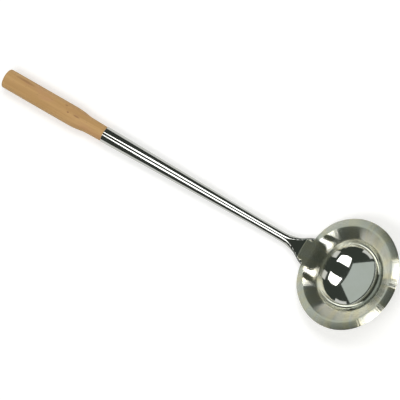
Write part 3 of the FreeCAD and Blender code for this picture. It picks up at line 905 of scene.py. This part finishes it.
def pale_floor():
    material, nodes, links, shader = new_material("pale_floor")
    nodes.remove(shader)
    paper = add_node(nodes, "ShaderNodeBsdfDiffuse", Color=(0.8, 0.8, 0.79, 1.0))
    glow = add_node(nodes, "ShaderNodeEmission", Color=(1.0, 1.0, 1.0, 1.0))
    level = add_node(nodes, "ShaderNodeMath", operation="MULTIPLY")
    level.inputs[1].default_value = FLOOR_GLOW
    links.new(seen_directly(nodes, links), level.inputs[0])
    links.new(level.outputs[0], glow.inputs["Strength"])
    both = nodes.new("ShaderNodeAddShader")
    links.new(paper.outputs[0], both.inputs[0])
    links.new(glow.outputs[0], both.inputs[1])
    links.new(both.outputs[0], nodes["Material Output"].inputs["Surface"])
    return material


start_clean()
bpy.ops.mesh.primitive_plane_add(size=FLOOR_SIZE, location=(0.0, 0.0, 0.0))
floor = named("floor")
floor.data.materials.append(pale_floor())

world = bpy.data.worlds.new("studio")
bpy.context.scene.world = world
world.use_nodes = True
sky = world.node_tree
dim = sky.nodes["Background"]
dim.inputs["Color"].default_value = (1.0, 1.0, 0.98, 1.0)
dim.inputs["Strength"].default_value = SURROUND_LIGHT
white = add_node(sky.nodes, "ShaderNodeBackground", Color=(1.0, 1.0, 1.0, 1.0), Strength=1.0)
mix = sky.nodes.new("ShaderNodeMixShader")
sky.links.new(seen_directly(sky.nodes, sky.links), mix.inputs["Fac"])
sky.links.new(dim.outputs[0], mix.inputs[1])
sky.links.new(white.outputs[0], mix.inputs[2])
sky.links.new(mix.outputs[0], sky.nodes["World Output"].inputs["Surface"])
print("floor and surround")

# %% [markdown]
# Polished steel shows only what stands around it. As silverware is photographed, the ladle lies
# in a dark tent. Two soft boxes hang over its two sides, with a dark slit between them for the
# camera. A light grey card fills the end over the grip, two white cards stand past the far side
# of the bowl and two more low beside it, for bright wedges on the brim. Tent and cards are there
# for reflections alone: they give no light, throw no shadow and never hide the ladle from the
# camera.

# %% Soft boxes
# lengths in metres
BOWL_MIDDLE = Vector((0.19, 0.0, 0.02))
BOX_HEIGHT = 6.0
BOX_AHEAD = 0.10
BOX_ASIDE = 2.77
BOX_LENGTH = 3.90
BOX_WIDTH = 2.55
BOX_RADIANCE = 4.4


def soft_box(name, sign):
    """A level area lamp that faces down, over the side that the sign names."""
    lamp = bpy.data.lights.new(name, "AREA")
    lamp.shape = "RECTANGLE"
    lamp.size = BOX_LENGTH
    lamp.size_y = BOX_WIDTH
    lamp.energy = BOX_RADIANCE * math.pi * BOX_WIDTH * BOX_LENGTH
    item = bpy.data.objects.new(name, lamp)
    item.location = (BOWL_MIDDLE.x + BOX_AHEAD, sign * BOX_ASIDE, BOX_HEIGHT)
    bpy.context.scene.collection.objects.link(item)


soft_box("left_box", 1.0)
soft_box("right_box", -1.0)
print("two soft boxes at", BOX_HEIGHT, "m")

# %% The tent and the cards
TENT_RADIUS = 20.0
CARD_DISTANCE = 4.0
DARK = (0.060, 0.070, 0.060)
GREY = (0.68, 0.74, 0.71)
WHITE = (1.0, 1.0, 0.98)
# the directions of a card's corners, in degrees from overhead, along the ladle and across it
GRIP_END = ((-22.0, 25.0), (-22.0, -25.0), (-70.0, -52.0), (-70.0, 52.0))
FAR_SIDE = ((30.0, 22.0), (52.0, 22.0), (52.0, 45.0), (30.0, 45.0))
LOW_SIDE = ((-31.0, 61.0), (-58.0, 53.0), (-66.0, 58.0), (-33.0, 81.0))


def toward(lengthwise, across):
    """A direction from the bowl: so many degrees from overhead along the ladle and across it."""
    turn = math.radians(math.hypot(lengthwise, across))
    heading = math.atan2(across, lengthwise)
    out = math.sin(turn)
    return Vector((out * math.cos(heading), out * math.sin(heading), math.cos(turn)))


def reflected_only(item, name, level):
    """Gives an object one even level, seen by polished surfaces and by nothing else."""
    material, nodes, links, shader = new_material(name)
    shader.inputs["Base Color"].default_value = (0.0, 0.0, 0.0, 1.0)
    shader.inputs["Specular IOR Level"].default_value = 0.0
    shader.inputs["Emission Color"].default_value = (*level, 1.0)
    shader.inputs["Emission Strength"].default_value = 1.0
    item.data.materials.append(material)
    item.visible_camera = False
    item.visible_diffuse = False
    item.visible_shadow = False
    item.visible_transmission = False


def card(name, edges, level):
    """A flat card, from the directions of its four corners, in order round it."""
    start_clean()
    bpy.ops.mesh.primitive_plane_add(size=1.0)
    item = named(name)
    first, second, third, fourth = [BOWL_MIDDLE + toward(*edge) * CARD_DISTANCE for edge in edges]
    # a plane's points come row by row
    for vertex, corner in zip(item.data.vertices, (first, second, fourth, third)):
        vertex.co = corner
    reflected_only(item, name, level)


def mirrored(edges):
    """The same directions on the ladle's right."""
    return [(lengthwise, -across) for lengthwise, across in edges]


start_clean()
bpy.ops.mesh.primitive_uv_sphere_add(
    segments=48, ring_count=24, radius=TENT_RADIUS, location=BOWL_MIDDLE)
reflected_only(named("tent"), "dark_tent", DARK)
card("grip_end_card", GRIP_END, GREY)
card("left_card", FAR_SIDE, WHITE)
card("right_card", mirrored(FAR_SIDE), WHITE)
card("left_side_card", LOW_SIDE, WHITE)
card("right_side_card", mirrored(LOW_SIDE), WHITE)
print("a tent and five cards")

bpy.context.scene.view_settings.view_transform = "Standard"
